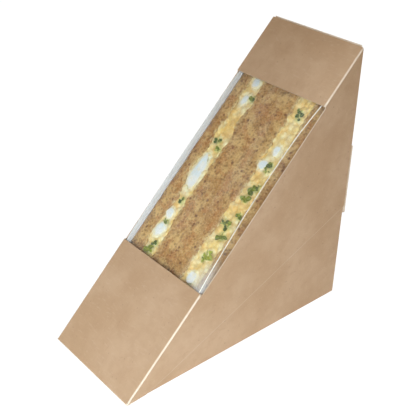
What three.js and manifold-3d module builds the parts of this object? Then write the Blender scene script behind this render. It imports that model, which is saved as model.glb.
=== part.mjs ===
// Sandwich wedge pack: a folded kraft carton with a film window, holding two cut sandwich halves.
// Millimetres. X runs across the pack, Y from the front edge to the back, Z up.
// The front edge of the base lies on the X axis until the whole pack is centred at the end.

import * as THREE from 'three';
import { mergeVertices } from 'three/addons/utils/BufferGeometryUtils.js';
import Module from 'manifold-3d';

const wasm = await Module();
wasm.setup();

// Carton, outside sizes and board
const packWidth = 52.8;
const packDepth = 122.7;
const packHeight = 122.7;
const board = 0.4;
const creaseRadius = 0.7;
const frontFoldRadius = 0.4;
const glueBite = 0.05;
const clearance = 0.3;

// Outer side panels, hinged on the front panel and cut off along a rising lower edge
const sideFootSetback = 10.5;
const sideFootHeight = 0.15;
const sideBackHeight = 48;
const sideCornerRadius = 2;

// Inner side panels, hinged on the base and glued under the outer ones
const glueStrip = 12;
const gussetFrontInset = 3;
const gussetLip = 1;
const gussetBackSetback = 0.35;
const gussetCornerRadius = 4;

// Window in the front panel, measured along the slope
const bottomBand = 53.6;
const topBand = 29.1;
const windowDrop = 1.2;
const windowCornerRadius = 0.8;

// Clear film glued inside the window
const filmThickness = 0.2;
const filmMargin = 8;
const filmWing = 8;
const filmCornerCut = 0.7;
const filmBow = 2.9;
const filmBowSharpness = 0.8;
const filmFoldRadius = 0.6;
const filmStations = 24;

// Closing flap over the open back
const flapSideTrim = 1.5;
const flapBeadRadius = 0.25;
const flapFoldRadius = 0.6;
const tongueLength = 11;
const tongueTaper = 2.4;
const tongueCornerRadius = 3;
const earBottom = 44.2;
const earHeight = 34.3;
const earLength = 18;
const earTaper = 5;
const earBulge = 0.75;
const earFoldDrop = 0.55;
const earFoldSetback = 0.05;
const earFoldRadius = 0.26;
const earBendRadius = 0.8;
const earCornerRadius = 4;
const earRoot = 2.2;

// Sandwich halves: slices and fillings from left to right, at their full thickness before packing
const layers = [
  { kind: 'bread', thickness: 5.2 },
  { kind: 'filling', thickness: 8.7 },
  { kind: 'bread', thickness: 9.3 },
  { kind: 'bread', thickness: 10.7 },
  { kind: 'filling', thickness: 9.1 },
  { kind: 'bread', thickness: 4.8 },
];
const layerGap = 0.28;
const cutFaceDepth = 3.5;
const crustRadius = 17;
const tipBlunt = 9;
const crustBevel = 1.2;
const fillingInset = 2;
const fillingBevel = 0.8;

// Chopped egg white showing at the cut faces: half, place across its filling and up the window,
// both as shares, then length and width of the piece, and its turn on the face
const eggWhites = [
  { filling: 0, across: 0.5, up: 0.985, length: 4.6, width: 4.0, turn: 0.3 },
  { filling: 0, across: 0.5, up: 0.887, length: 6.4, width: 4.4, turn: -0.2 },
  { filling: 0, across: 0.5, up: 0.467, length: 16.5, width: 6.6, turn: 0.08 },
  { filling: 0, across: 0.5, up: 0.227, length: 5.2, width: 4.2, turn: 0.5 },
  { filling: 0, across: 0.42, up: 0.137, length: 6.0, width: 4.2, turn: -0.4 },
  { filling: 1, across: 0.56, up: 0.73, length: 5.6, width: 4.4, turn: 0.2 },
  { filling: 1, across: 0.3, up: 0.64, length: 5.0, width: 3.8, turn: -0.5 },
  { filling: 1, across: 0.46, up: 0.035, length: 5.4, width: 4.2, turn: 0.1 },
];
const eggWhiteDepth = 4;
const eggWhiteLump = 0.07;
const eggWhiteDetail = 3;

const arcSteps = 4;
const filmArcSteps = 3;
const beadSteps = 16;
const overshoot = 1;
const edgeUse = 0.8;

// Values that follow from the sizes above
const slopeAngle = Math.atan2(packHeight, packDepth);
const slopeLength = Math.hypot(packDepth, packHeight);
const windowStart = bottomBand;
const windowEnd = slopeLength - topBand;
const halfWidth = packWidth / 2;
const foldStart = frontFoldRadius / Math.tan(slopeAngle / 2);
const gussetOuterX = halfWidth - board + glueBite;
const gussetInnerX = gussetOuterX - board;
const flapPlaneY = packDepth + clearance + board / 2;
const hingeZ = flapPlaneY * Math.tan(slopeAngle) - board / 2 / Math.cos(slopeAngle);
const earPlaneX = gussetInnerX - clearance - board / 2;
const sandwichHalfWidth = earPlaneX - board / 2 - clearance;
const floorZ = board + clearance;

// Materials
const kraft = new THREE.MeshStandardMaterial({ color: 0xc0a080, roughness: 0.85, metalness: 0 });
const clearFilm = new THREE.MeshStandardMaterial({
  color: 0xeeeeea,
  roughness: 0.08,
  metalness: 0,
  transparent: true,
  opacity: 0.3,
});
const maltedBread = new THREE.MeshStandardMaterial({ color: 0xb5905c, roughness: 0.95, metalness: 0 });
const eggMayonnaise = new THREE.MeshStandardMaterial({ color: 0xe2cd86, roughness: 0.6, metalness: 0 });
const boiledWhite = new THREE.MeshStandardMaterial({ color: 0xdcdcd2, roughness: 0.45, metalness: 0 });

// Solids for joining and cutting, and back to geometry
function solidOf(geometry) {
  const shell = geometry.clone();
  shell.deleteAttribute('normal');
  shell.deleteAttribute('uv');
  const merged = mergeVertices(shell);
  const mesh = new wasm.Mesh({
    numProp: 3,
    vertProperties: new Float32Array(merged.attributes.position.array),
    triVerts: new Uint32Array(merged.index.array),
  });
  return new wasm.Manifold(mesh);
}

function geometryOf(solid) {
  const mesh = solid.getMesh();
  const geometry = new THREE.BufferGeometry();
  geometry.setAttribute('position', new THREE.BufferAttribute(mesh.vertProperties, 3));
  geometry.setIndex(new THREE.BufferAttribute(mesh.triVerts, 1));
  return geometry;
}

// Outlines are lists of points, and a corner written with a third number is rounded to that radius.
// Radii that an edge has no room for are made smaller together.
function roundedOutline(corners, closed = true, steps = arcSteps) {
  const count = corners.length;
  const bends = corners.map(([a, b, radius = 0], index) => {
    const corner = new THREE.Vector2(a, b);
    const before = new THREE.Vector2(...corners[(index + count - 1) % count].slice(0, 2));
    const after = new THREE.Vector2(...corners[(index + 1) % count].slice(0, 2));
    const inward = corner.clone().sub(before);
    const onward = after.clone().sub(corner);
    const turn = Math.atan2(inward.cross(onward), inward.dot(onward));
    const isEnd = !closed && (index === 0 || index === count - 1);
    const reach = isEnd ? 0 : radius * Math.tan(Math.abs(turn) / 2);
    return { corner, turn, reach, edge: onward.length(), heading: inward.normalize() };
  });
  const share = bends.map((bend, index) => {
    const wanted = bend.reach + bends[(index + 1) % count].reach;
    return wanted > edgeUse * bend.edge ? edgeUse * bend.edge / wanted : 1;
  });
  return bends.flatMap(({ corner, turn, reach, heading }, index) => {
    if (!reach) {
      return [corner];
    }
    const fitted = reach * Math.min(share[index], share[(index + count - 1) % count]);
    const radius = fitted / Math.tan(Math.abs(turn) / 2);
    const start = corner.clone().addScaledVector(heading, -fitted);
    const side = new THREE.Vector2(-heading.y, heading.x).multiplyScalar(Math.sign(turn) * radius);
    const centre = start.clone().add(side);
    const turnedBy = (step) => start.clone().rotateAround(centre, turn * step / steps);
    return Array.from({ length: steps + 1 }, (_, step) => turnedBy(step));
  });
}

// The two faces of a sheet that follows a path, as far from it as half the sheet's thickness
function sheetFaces(path, thickness) {
  const left = [];
  const right = [];
  path.forEach((point, index) => {
    const before = path[Math.max(index - 1, 0)];
    const after = path[Math.min(index + 1, path.length - 1)];
    const inward = (index === 0 ? after.clone().sub(point) : point.clone().sub(before)).normalize();
    const onward = (index === path.length - 1 ? inward.clone() : after.clone().sub(point)).normalize();
    const along = inward.clone().add(onward).normalize();
    const reach = thickness / 2 / along.dot(onward);
    const offset = new THREE.Vector2(-along.y, along.x).multiplyScalar(reach);
    left.push(point.clone().add(offset));
    right.push(point.clone().sub(offset));
  });
  return { left, right };
}

function sheetOutline(path, thickness) {
  const { left, right } = sheetFaces(path, thickness);
  return [...left, ...right.reverse()];
}

// Straight solids of an outline: drawn in Y and Z and run across the pack, drawn in X and Y and run
// up, or drawn in X and Z and run from front to back
function acrossPack(points, reach) {
  const options = { depth: 2 * reach, bevelEnabled: false };
  const geometry = new THREE.ExtrudeGeometry(new THREE.Shape(points), options);
  geometry.translate(0, 0, -reach);
  geometry.applyMatrix4(new THREE.Matrix4().makeBasis(
    new THREE.Vector3(0, 1, 0),
    new THREE.Vector3(0, 0, 1),
    new THREE.Vector3(1, 0, 0),
  ));
  return geometry;
}

function upright(points, low, high) {
  const options = { depth: high - low, bevelEnabled: false };
  const geometry = new THREE.ExtrudeGeometry(new THREE.Shape(points), options);
  geometry.translate(0, 0, low);
  return geometry;
}

function frontToBack(points, near, far) {
  const options = { depth: far - near, bevelEnabled: false };
  const geometry = new THREE.ExtrudeGeometry(new THREE.Shape(points), options);
  geometry.rotateX(Math.PI / 2);
  geometry.translate(0, far, 0);
  return geometry;
}

// A round rod across the pack, for the bead that a crease leaves
function beadAcross(radius, y, z, reach) {
  const geometry = new THREE.CylinderGeometry(radius, radius, 2 * reach, beadSteps);
  geometry.rotateZ(Math.PI / 2);
  geometry.translate(0, y, z);
  return geometry;
}

// The front panel is drawn lying flat in its own frame, X across, Y up the slope from the front edge
// and Z out of the panel, and is then turned up about the front edge
function toSlope(y, z) {
  const along = y * Math.cos(slopeAngle) + z * Math.sin(slopeAngle);
  const out = z * Math.cos(slopeAngle) - y * Math.sin(slopeAngle);
  return [along, out];
}

function raised(geometry) {
  return geometry.rotateX(slopeAngle);
}

// A board channel: a flat web with an arm folded up along each side, its outside at z = 0
function channel(outerHalfWidth, armLength, near, far) {
  const insideHalfWidth = outerHalfWidth - board;
  const insideRadius = creaseRadius - board;
  const outline = roundedOutline([
    [-outerHalfWidth, armLength],
    [-outerHalfWidth, 0, creaseRadius],
    [outerHalfWidth, 0, creaseRadius],
    [outerHalfWidth, armLength],
    [insideHalfWidth, armLength],
    [insideHalfWidth, board, insideRadius],
    [-insideHalfWidth, board, insideRadius],
    [-insideHalfWidth, armLength],
  ]);
  return frontToBack(outline, near, far);
}

// Front panel and outer side panels, with the window cut through the panel and its two creases
function frontAndSides() {
  const armLength = slopeLength;
  const folded = channel(halfWidth, armLength, foldStart, slopeLength + overshoot);
  folded.rotateY(Math.PI);
  const footOut = (sideFootHeight - foldStart * Math.sin(slopeAngle)) / Math.cos(slopeAngle);
  const topAlong = (packDepth + overshoot * Math.sin(slopeAngle)) / Math.cos(slopeAngle);
  const outline = roundedOutline([
    [foldStart, overshoot],
    [foldStart, footOut],
    [...toSlope(sideFootSetback, sideFootHeight), sideCornerRadius],
    [...toSlope(packDepth, sideBackHeight), sideCornerRadius],
    [topAlong, overshoot],
  ]);
  const windowOutline = roundedOutline([
    [windowStart, overshoot],
    [windowStart, -windowDrop, windowCornerRadius],
    [windowEnd, -windowDrop, windowCornerRadius],
    [windowEnd, overshoot],
  ]);
  const blank = solidOf(folded).intersect(solidOf(acrossPack(outline, packWidth)));
  const opened = blank.subtract(solidOf(acrossPack(windowOutline, packWidth)));
  return raised(geometryOf(opened));
}

// Base and the two inner side panels
function baseAndGussets() {
  const backY = packDepth - gussetBackSetback;
  const rise = (sideBackHeight - sideFootHeight) / (packDepth - sideFootSetback);
  const topAt = (y) => sideFootHeight + glueStrip + rise * (y - sideFootSetback);
  const frontAt = (z) => (z + gussetFrontInset / Math.cos(slopeAngle)) / Math.tan(slopeAngle);
  const frontDrop = gussetFrontInset / Math.cos(slopeAngle);
  const shoulderY = (topAt(0) + frontDrop) / (Math.tan(slopeAngle) - rise);
  const outline = roundedOutline([
    [foldStart, -overshoot],
    [backY, -overshoot],
    [backY, topAt(backY), gussetCornerRadius],
    [shoulderY, topAt(shoulderY), gussetCornerRadius],
    [frontAt(gussetLip), gussetLip],
    [foldStart, gussetLip],
  ]);
  const folded = channel(gussetOuterX, packHeight, foldStart, backY);
  return solidOf(folded).intersect(solidOf(acrossPack(outline, packWidth)));
}

function cartonGeometry() {
  const beadReach = halfWidth - board / 2;
  const beadGap = glueBite / 2;
  const bead = beadAcross(frontFoldRadius - beadGap, foldStart, frontFoldRadius, beadReach);
  const solid = solidOf(frontAndSides()).add(baseAndGussets()).add(solidOf(bead));
  return geometryOf(solid);
}

// Closing flap: back panel with a crease bead along the top, a tongue folded in over the base, and
// two ears whose folds stand proud at the sides before they turn in behind the side panels.
// The tongue slopes up so that its edge swings clear of the base.
function flapPanelAndTongue() {
  const swing = hingeZ - floorZ - board / 2;
  const tongueTipY = flapPlaneY - tongueLength;
  const tongueTipZ = hingeZ - Math.sqrt(swing ** 2 - tongueLength ** 2);
  const path = roundedOutline([
    [flapPlaneY, hingeZ],
    [flapPlaneY, hingeZ - swing, flapFoldRadius],
    [tongueTipY, tongueTipZ],
  ], false);
  const flapHalfWidth = halfWidth - flapSideTrim;
  const plan = roundedOutline([
    [flapHalfWidth, flapPlaneY + overshoot],
    [-flapHalfWidth, flapPlaneY + overshoot],
    [-flapHalfWidth, flapPlaneY - flapFoldRadius],
    [-flapHalfWidth + tongueTaper, tongueTipY, tongueCornerRadius],
    [flapHalfWidth - tongueTaper, tongueTipY, tongueCornerRadius],
    [flapHalfWidth, flapPlaneY - flapFoldRadius],
  ]);
  const strip = solidOf(acrossPack(sheetOutline(path, board), packWidth));
  const trimmed = strip.intersect(solidOf(upright(plan, -overshoot, packHeight + overshoot)));
  const bead = beadAcross(flapBeadRadius, flapPlaneY, hingeZ, flapHalfWidth);
  return trimmed.add(solidOf(bead));
}

function flapEar(side) {
  const foldX = halfWidth - earFoldSetback - board / 2;
  const crestY = flapPlaneY + earBulge;
  const path = roundedOutline([
    [side * (foldX - 2 * earRoot), flapPlaneY],
    [side * (foldX - earRoot), flapPlaneY, earBendRadius],
    [side * foldX, crestY, earFoldRadius],
    [side * foldX, crestY - earFoldDrop, earFoldRadius],
    [side * earPlaneX, packDepth, earBendRadius],
    [side * earPlaneX, packDepth - earLength],
  ], false);
  const tip = packDepth - earLength;
  const outline = roundedOutline([
    [tip, earBottom + earTaper, earCornerRadius],
    [packDepth, earBottom],
    [crestY + overshoot, earBottom + overshoot],
    [crestY + overshoot, earBottom + earHeight - overshoot],
    [packDepth, earBottom + earHeight],
    [tip, earBottom + earHeight - earTaper, earCornerRadius],
  ]);
  const strip = solidOf(upright(sheetOutline(path, board), 0, packHeight));
  return strip.intersect(solidOf(acrossPack(outline, packWidth)));
}

function flapGeometry() {
  const solid = flapPanelAndTongue().add(flapEar(1)).add(flapEar(-1));
  return geometryOf(solid);
}

// Window film: flat behind the front panel, with its side folds bowed in from the creases where the
// window leaves them free, and a wing down each side panel
function filmSection(along) {
  const wallX = halfWidth - board - clearance - filmThickness / 2;
  const faceOut = -(board + clearance + filmThickness / 2);
  const share = THREE.MathUtils.clamp((along - windowStart) / (windowEnd - windowStart), 0, 1);
  const cut = filmCornerCut + filmBow * Math.sin(Math.PI * share) ** filmBowSharpness;
  const half = [
    [wallX - cut, faceOut, filmFoldRadius],
    [wallX, faceOut - cut, filmFoldRadius],
    [wallX, -filmWing],
  ];
  const mirrored = half.map(([x, out, radius]) => [-x, out, radius]).reverse();
  return sheetFaces(roundedOutline([...mirrored, ...half], false, filmArcSteps), filmThickness);
}

function filmGeometry() {
  const acrossCount = filmSection(windowStart).left.length - 1;
  const start = windowStart - filmMargin;
  const end = windowEnd + filmMargin;
  const alongAt = (station) => start + (end - start) * station / filmStations;
  const sections = Array.from({ length: filmStations + 1 }, (_, station) => filmSection(alongAt(station)));
  const geometry = new THREE.BoxGeometry(1, 1, 1, acrossCount, filmStations, 1);
  const place = geometry.attributes.position;
  for (let vertex = 0; vertex < place.count; vertex += 1) {
    const column = Math.round((place.getX(vertex) + 0.5) * acrossCount);
    const station = Math.round((place.getY(vertex) + 0.5) * filmStations);
    const face = place.getZ(vertex) > 0 ? 'left' : 'right';
    const point = sections[station][face][column];
    place.setXYZ(vertex, point.x, alongAt(station), point.y);
  }
  return raised(geometry);
}

// A slice cut corner to corner: rounded crust corner at the back, blunt tips, and a cut face parallel
// to the front panel. A filling has the same outline a little smaller.
function halfSliceOutline(inset) {
  const lowZ = floorZ + inset;
  const backY = packDepth - clearance - inset;
  const faceDrop = cutFaceDepth / Math.cos(slopeAngle);
  const faceAt = (y) => y * Math.tan(slopeAngle) - faceDrop;
  const frontY = (lowZ + faceDrop) / Math.tan(slopeAngle);
  const alongFace = new THREE.Vector2(Math.cos(slopeAngle), Math.sin(slopeAngle));
  const lowTip = new THREE.Vector2(frontY, lowZ).addScaledVector(alongFace, tipBlunt);
  const highTip = new THREE.Vector2(backY, faceAt(backY)).addScaledVector(alongFace, -tipBlunt);
  return roundedOutline([
    [lowTip.x, lowTip.y],
    [frontY + tipBlunt / Math.cos(slopeAngle), lowZ, crustRadius],
    [backY, lowZ, crustRadius],
    [backY, faceAt(backY) - tipBlunt / Math.sin(slopeAngle), crustRadius],
    [highTip.x, highTip.y],
  ]);
}

function layerGeometry(thickness, inset, bevel) {
  const geometry = new THREE.ExtrudeGeometry(new THREE.Shape(halfSliceOutline(inset)), {
    depth: thickness - 2 * bevel,
    bevelThickness: bevel,
    bevelSize: bevel,
    bevelOffset: -bevel,
    bevelSegments: 2,
  });
  geometry.translate(0, 0, bevel);
  geometry.applyMatrix4(new THREE.Matrix4().makeBasis(
    new THREE.Vector3(0, 1, 0),
    new THREE.Vector3(0, 0, 1),
    new THREE.Vector3(1, 0, 0),
  ));
  return geometry;
}

// The layers are squeezed together to the room between the ears
function packedLayers() {
  const gaps = layerGap * (layers.length - 1);
  const loose = layers.reduce((sum, layer) => sum + layer.thickness, 0);
  const squeeze = (2 * sandwichHalfWidth - gaps) / loose;
  let left = -sandwichHalfWidth;
  return layers.map((layer) => {
    const thickness = layer.thickness * squeeze;
    const placed = { kind: layer.kind, left, thickness };
    left += thickness + layerGap;
    return placed;
  });
}

// A chopped piece of white: a lumpy rounded piece in the front panel's frame, grown by a margin for
// the pocket that it sits in
function lumpGeometry(piece, filling, margin, phase) {
  const geometry = new THREE.IcosahedronGeometry(1, eggWhiteDetail);
  const place = geometry.attributes.position;
  const point = new THREE.Vector3();
  for (let vertex = 0; vertex < place.count; vertex += 1) {
    point.fromBufferAttribute(place, vertex);
    const ripple = Math.sin(4 * point.x + phase) + Math.sin(3 * point.y + 2 * phase);
    point.multiplyScalar(1 + eggWhiteLump * ripple);
    place.setXYZ(vertex, point.x, point.y, point.z);
  }
  geometry.scale(piece.width / 2 + margin, piece.length / 2 + margin, eggWhiteDepth + margin);
  geometry.rotateZ(piece.turn);
  const across = filling.left + filling.thickness * piece.across;
  const along = windowStart + (windowEnd - windowStart) * piece.up;
  geometry.translate(across, along, -cutFaceDepth);
  return geometry;
}

function eggWhiteGeometry(piece, filling, phase) {
  const knife = new THREE.BoxGeometry(packWidth, 2 * slopeLength, 2 * eggWhiteDepth);
  knife.translate(0, slopeLength / 2, eggWhiteDepth - cutFaceDepth);
  const cut = solidOf(lumpGeometry(piece, filling, 0, phase)).subtract(solidOf(knife));
  return raised(geometryOf(cut));
}

function pieceMesh(name, geometry, material) {
  const mesh = new THREE.Mesh(geometry, material);
  mesh.name = name;
  return mesh;
}

// Two halves side by side: bread, filling, bread, twice
function sandwich() {
  const group = new THREE.Group();
  const placed = packedLayers();
  const fillings = placed.filter((layer) => layer.kind === 'filling');
  placed.filter((layer) => layer.kind === 'bread').forEach((layer, index) => {
    const geometry = layerGeometry(layer.thickness, 0, crustBevel);
    const mesh = pieceMesh(`bread_slice_${index + 1}`, geometry, maltedBread);
    mesh.position.x = layer.left;
    group.add(mesh);
  });
  fillings.forEach((layer, index) => {
    const whole = layerGeometry(layer.thickness, fillingInset, fillingBevel);
    whole.translate(layer.left, 0, 0);
    let solid = solidOf(whole);
    eggWhites.forEach((piece, order) => {
      if (piece.filling === index) {
        solid = solid.subtract(solidOf(raised(lumpGeometry(piece, layer, clearance, order))));
      }
    });
    group.add(pieceMesh(`egg_filling_${index + 1}`, geometryOf(solid), eggMayonnaise));
  });
  eggWhites.forEach((piece, order) => {
    const geometry = eggWhiteGeometry(piece, fillings[piece.filling], order);
    group.add(pieceMesh(`egg_white_${order + 1}`, geometry, boiledWhite));
  });
  return group;
}

const pack = new THREE.Group();
pack.add(pieceMesh('carton', cartonGeometry(), kraft));
pack.add(pieceMesh('closing_flap', flapGeometry(), kraft));
pack.add(pieceMesh('window_film', filmGeometry(), clearFilm));
pack.add(sandwich());

// The pack stands on z = 0 with its footprint centred on the origin
pack.updateMatrixWorld(true);
const footprint = new THREE.Box3().setFromObject(pack);
pack.position.y = -(footprint.min.y + footprint.max.y) / 2;
pack.position.z = -footprint.min.z;

export default pack;
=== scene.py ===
import math

import bmesh
import bpy
import numpy as np
from mathutils import Matrix, Vector, noise
from mathutils.geometry import delaunay_2d_cdt


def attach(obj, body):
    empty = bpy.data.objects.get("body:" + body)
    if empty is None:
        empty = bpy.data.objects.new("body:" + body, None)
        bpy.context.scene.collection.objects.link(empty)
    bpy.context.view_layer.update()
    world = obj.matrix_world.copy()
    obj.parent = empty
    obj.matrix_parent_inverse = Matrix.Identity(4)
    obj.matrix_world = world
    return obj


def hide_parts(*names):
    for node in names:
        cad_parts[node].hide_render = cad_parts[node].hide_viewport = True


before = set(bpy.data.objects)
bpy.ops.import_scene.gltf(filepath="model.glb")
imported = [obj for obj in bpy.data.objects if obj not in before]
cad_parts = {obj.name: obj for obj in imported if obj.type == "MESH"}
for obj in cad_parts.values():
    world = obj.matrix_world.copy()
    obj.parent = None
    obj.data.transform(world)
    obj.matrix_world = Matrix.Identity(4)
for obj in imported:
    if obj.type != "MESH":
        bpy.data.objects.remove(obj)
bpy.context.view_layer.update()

MM = 0.001

# Camera fitted to the photograph: millimetres, degrees, and a lens for a 36 mm sensor
CAMERA_PLACE = (218.521, -189.048, 227.537)
CAMERA_TARGET = (3.995, -0.825, 58.042)
CAMERA_ROLL = -1.484
CAMERA_LENS = 67.36
SENSOR = 36

# Slope frame: x across, "along" up the slope from the front edge, "out" of the front panel
SLOPE = math.radians(45)
ALONG_AXIS = Vector((0, math.cos(SLOPE), math.sin(SLOPE)))
OUT_AXIS = Vector((0, -math.sin(SLOPE), math.cos(SLOPE)))
FRONT_EDGE_Y = -62.325
HALF_WIDTH = 26.4
BOARD = 0.4
WINDOW_START = 53.6
WINDOW_END = 144.42

# Sandwich, millimetres
CUT_FACE = 3.5
FLOOR_Z = 0.7
BREAD_BACK_Y = 60.075
CRUST_RADIUS = 17
TIP_BLUNT = 9
HALF_GAP = 0.01
DEPTH_FADE = 9
SIDE_RAGGED = 0.75
SEAM_RAGGED = 0.35
RAGGED_SIZE = 3.4
FINE_RAGGED = 0.6
FINE_RAGGED_SIZE = 1.3

# Left and right outlines of the two fillings at the cut face: place up the slope, place across
FILLING_1_LEFT = [
    (48, -18.6), (54, -16.2), (58, -16.9), (64, -18.9), (68, -18.3), (72, -17.2), (77, -16.9),
    (82, -16.0), (87, -17.4), (91, -18.9), (96, -19.7), (101, -19.2), (105, -18.4), (108, -17.4),
    (113, -18.9), (120, -19.1), (126, -18.7), (132, -18.6), (138, -19.1), (145, -18.8),
]
FILLING_1_RIGHT = [
    (48, -10.4), (55, -9.9), (62, -10.2), (67, -10.0), (72, -11.1), (78, -11.2), (84, -11.7),
    (90, -11.0), (98, -10.5), (105, -11.2), (110, -10.5), (114, -9.8), (118, -10.2), (121, -12.0),
    (127, -12.3), (132, -10.2), (136, -10.8), (141, -11.9), (146, -11.6),
]
FILLING_2_LEFT = [
    (48, 10.4), (56, 10.3), (64, 10.1), (70, 9.8), (76, 10.4), (82, 11.7), (87, 10.9), (92, 10.4),
    (98, 11.9), (106, 12.1), (110, 11.6), (113, 10.3), (118, 11.4), (125, 10.8), (133, 11.2),
    (140, 10.4), (146, 10.0),
]
FILLING_2_RIGHT = [
    (48, 19.6), (60, 19.9), (70, 19.5), (80, 19.8), (90, 19.4), (100, 19.8), (110, 19.3),
    (120, 19.5), (130, 19.1), (138, 18.4), (146, 18.6),
]
BREAD_SEAM = [(48, 0.0), (65, -0.5), (80, -0.2), (95, -0.8), (110, -0.5), (125, -1.0), (145, -0.6)]
SIDE_WALL = 24.65
SIDE_BULGE = 25.2
LEFT_BREAD_BULGE = 25.48

# Egg white at the cut faces: name, x, along, length, width, turn
EGG_WHITES = [
    ("egg_white_1", -15.0, 143.1, 4.8, 4.2, 0.3),
    ("egg_white_2", -15.4, 134.0, 5.6, 3.6, -0.2),
    ("egg_white_3", -15.1, 96.2, 17.4, 6.4, 0.04),
    ("egg_white_4", -14.8, 74.2, 5.0, 4.2, 0.5),
    ("egg_white_5", -14.8, 66.0, 7.2, 5.4, -0.4),
    ("egg_white_6", 15.6, 120.0, 4.6, 3.4, 0.2),
    ("egg_white_7", 13.3, 112.2, 4.8, 4.2, -0.5),
    ("egg_white_8", 15.2, 56.8, 5.2, 4.6, 0.1),
]
EGG_WHITE_DEPTH = 3.2
POCKET_MARGIN = -0.6

# Cress at the cut faces: x, along, size of a leaf, how many leaves, turn, colour share
CRESS = [
    (-11.8, 135.6, 2.2, 3, 0.4, 0.35),
    (-14.9, 112.6, 2.1, 3, 1.8, 0.15),
    (-12.4, 109.2, 2.0, 2, 3.0, 0.35),
    (-13.2, 81.6, 1.9, 2, 0.9, 0.0),
    (-14.4, 70.4, 1.6, 1, 1.5, 0.7),
    (-12.8, 59.5, 2.1, 2, 0.2, 0.15),
    (-13.4, 56.0, 3.0, 4, 2.2, 0.55),
    (14.9, 138.4, 2.1, 2, 0.5, 0.3),
    (15.6, 136.6, 2.1, 2, 2.3, 0.25),
    (17.6, 113.0, 2.2, 2, 0.7, 0.2),
    (17.2, 110.9, 2.3, 2, 2.8, 0.6),
    (16.6, 100.9, 2.6, 3, 1.1, 0.55),
    (18.2, 102.4, 1.9, 2, 0.2, 0.1),
    (15.7, 96.2, 2.6, 3, 2.4, 0.7),
    (18.4, 88.6, 2.0, 2, 1.0, 0.5),
    (13.6, 83.2, 2.3, 2, 2.7, 0.2),
    (16.2, 82.2, 2.1, 2, 0.3, 0.3),
    (16.2, 77.8, 2.6, 3, 0.6, 0.3),
    (15.8, 68.2, 2.6, 3, 1.4, 0.8),
    (14.9, 66.6, 2.0, 2, 0.2, 0.75),
]


def on_slope(x, along, out):
    y = along * math.cos(SLOPE) - out * math.sin(SLOPE) + FRONT_EDGE_Y
    z = along * math.sin(SLOPE) + out * math.cos(SLOPE)
    return x, y, z


def along_and_out(y, z):
    depth_y = y - FRONT_EDGE_Y
    along = depth_y * math.cos(SLOPE) + z * math.sin(SLOPE)
    out = z * math.cos(SLOPE) - depth_y * math.sin(SLOPE)
    return along, out


# A point given across and up in a frame that is turned around a centre
def turned(centre, turn, across, up):
    x = centre[0] + across * math.cos(turn) - up * math.sin(turn)
    along = centre[1] + across * math.sin(turn) + up * math.cos(turn)
    return x, along


def curve_at(points, place):
    places = [point[0] for point in points]
    values = [point[1] for point in points]
    return np.interp(place, places, values)


def wave(point, size, shift=0.0):
    return noise.noise(Vector(point) / size + Vector((shift, shift, shift)))


def smooth_step(low, high, value):
    share = min(max((value - low) / (high - low), 0), 1)
    return share * share * (3 - 2 * share)


def add_object(name, data):
    item = bpy.data.objects.new(name, data)
    bpy.context.scene.collection.objects.link(item)
    return item


def make_object(name, points, faces, material, smooth=True):
    mesh = bpy.data.meshes.new(name)
    mesh.from_pydata([Vector(point) * MM for point in points], [], faces)
    mesh.validate()
    mesh.materials.append(material)
    if smooth:
        mesh.shade_smooth()
    return add_object(name, mesh)


# Faces of a tube: rings of as many points each, one after another
def tube_faces(first, rings, count):
    faces = []
    for ring in range(rings - 1):
        low = first + ring * count
        high = low + count
        for spoke in range(count):
            onward = (spoke + 1) % count
            faces.append((low + spoke, low + onward, high + onward, high + spoke))
    return faces


# Faces of a thin sheet: a grid of points, the same grid again behind it, and a rim between them
def sheet_faces(first, rows, columns):
    layer = rows * columns
    faces = []
    for row in range(rows - 1):
        for column in range(columns - 1):
            corner = first + row * columns + column
            front = (corner, corner + 1, corner + 1 + columns, corner + columns)
            faces += [front, tuple(point + layer for point in reversed(front))]
    rim = list(range(columns))
    rim += [row * columns + columns - 1 for row in range(1, rows)]
    rim += [(rows - 1) * columns + column for column in reversed(range(columns - 1))]
    rim += [row * columns for row in reversed(range(1, rows - 1))]
    for start, end in zip(rim, rim[1:] + rim[:1]):
        faces.append((first + start, first + start + layer, first + end + layer, first + end))
    return faces


def add_attribute(piece, name, values, domain="POINT"):
    attribute = piece.data.attributes.new(name, "FLOAT", domain)
    attribute.data.foreach_set("value", np.asarray(values, dtype=np.float32))


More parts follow.
